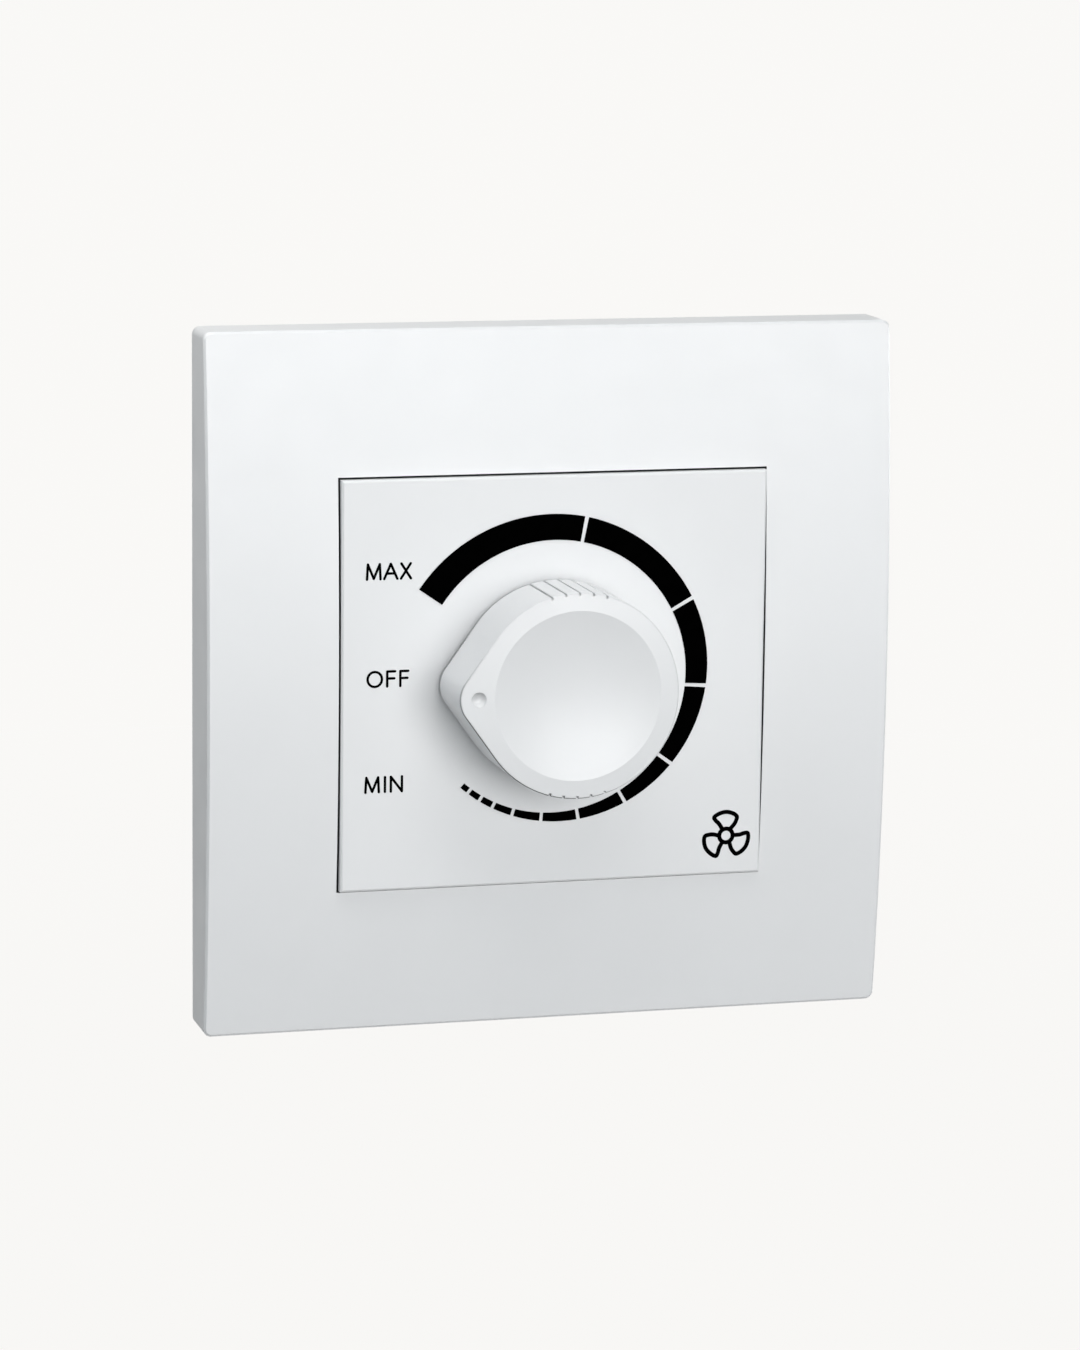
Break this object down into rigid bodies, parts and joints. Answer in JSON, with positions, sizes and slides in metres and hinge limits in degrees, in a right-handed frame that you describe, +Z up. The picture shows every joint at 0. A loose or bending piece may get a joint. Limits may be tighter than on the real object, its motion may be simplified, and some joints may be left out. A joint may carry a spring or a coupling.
{
  "type": "fan speed control switch",
  "caption": "Square wall plate rotary fan speed control with a pointer knob, tapering printed speed band, clip-on surround, and a rear housing with screw clamp terminals.",
  "frame": {"origin": "midway between the two fixing slots, on the wall face", "axes": "+Z up, +X to the right as seen from the room, +Y into the wall; the knob turns about the Y axis"},
  "size_m": [0.087, 0.0482, 0.087],
  "materials": {
    "shell_plastic": "satin white moulding",
    "knob_plastic": "satin white moulding",
    "grid_plastic": "satin white moulding",
    "print": "printed black",
    "housing_plastic": "matt light moulding",
    "heat_sink": "rolled sheet",
    "steel": "zinc plated",
    "spring_steel": "bright spring strip",
    "brass": "bright brass",
    "bronze": "spring bronze",
    "shaft_metal": "turned",
    "black_moulding": "matt black moulding",
    "wafer": "phenolic sheet",
    "board": "phenolic board",
    "triac": "moulded package",
    "pad": "silicone sheet",
    "ferrite": "sintered ferrite",
    "copper_wire": "enamelled wire",
    "film_capacitor": "moulded case",
    "small_capacitor": "dipped case",
    "resistor": "lacquered body",
    "diac": "glass body",
    "fuse": "moulded case",
    "terminal_plastic": "matt dark moulding"
  },
  "bodies": {
    "fixed": {"surround_frame": "shell_plastic", "mounting_grid": "grid_plastic", "dial_panel": "shell_plastic", "scale_print": "print", "heat_sink": "heat_sink", "housing_screws": "steel", "rear_housing": "housing_plastic", "pot_case": "black_moulding", "pot_bushing": "brass", "pot_nut": "steel", "track_wafer": "wafer", "pot_terminals": "brass", "switch_base": "black_moulding", "switch_leaf": "bronze", "switch_fixed_contact": "brass", "circuit_board": "board", "triac": "triac", "thermal_pad": "pad", "triac_screw": "steel", "choke_core": "ferrite", "choke_winding": "copper_wire", "suppression_capacitor": "film_capacitor", "timing_capacitor": "small_capacitor", "resistors": "resistor", "diac": "diac", "fuse": "fuse", "terminal_block": "terminal_plastic", "terminal_bar_1": "brass", "terminal_bar_2": "brass"},
    "rotor": {"knob": "knob_plastic", "knob_spring": "spring_steel", "pot_shaft": "shaft_metal", "pot_rotor": "black_moulding", "wiper_contact": "bronze", "switch_cam": "housing_plastic"},
    "clamp_screw_1": {"terminal_screw_1": "steel"},
    "clamp_cage_1": {"terminal_cage_1": "brass"},
    "clamp_screw_2": {"terminal_screw_2": "steel"},
    "clamp_cage_2": {"terminal_cage_2": "brass"}
  },
  "joints": [
    {"name": "knob_turn", "type": "hinge", "parent": "fixed", "child": "rotor", "pos_m": [0, 0, 0], "axis": [0, 1, 0], "range_deg": [0, 312]},
    {"name": "clamp_turn_1", "type": "hinge", "parent": "fixed", "child": "clamp_screw_1", "pos_m": [-0.00405, 0, -0.01858], "axis": [0, -1, 0], "range_deg": [0, 1440]},
    {"name": "cage_rise_1", "type": "slide", "parent": "fixed", "child": "clamp_cage_1", "axis": [0, 1, 0], "range_m": [0, 0.0024]},
    {"name": "clamp_turn_2", "type": "hinge", "parent": "fixed", "child": "clamp_screw_2", "pos_m": [0.00405, 0, -0.01858], "axis": [0, -1, 0], "range_deg": [0, 1440]},
    {"name": "cage_rise_2", "type": "slide", "parent": "fixed", "child": "clamp_cage_2", "axis": [0, 1, 0], "range_m": [0, 0.0024]}
  ],
  "couplings": [
    {"joint": "clamp_turn_1", "follows": "cage_rise_1", "rad_per_m": 10472},
    {"joint": "clamp_turn_2", "follows": "cage_rise_2", "rad_per_m": 10472}
  ]
}
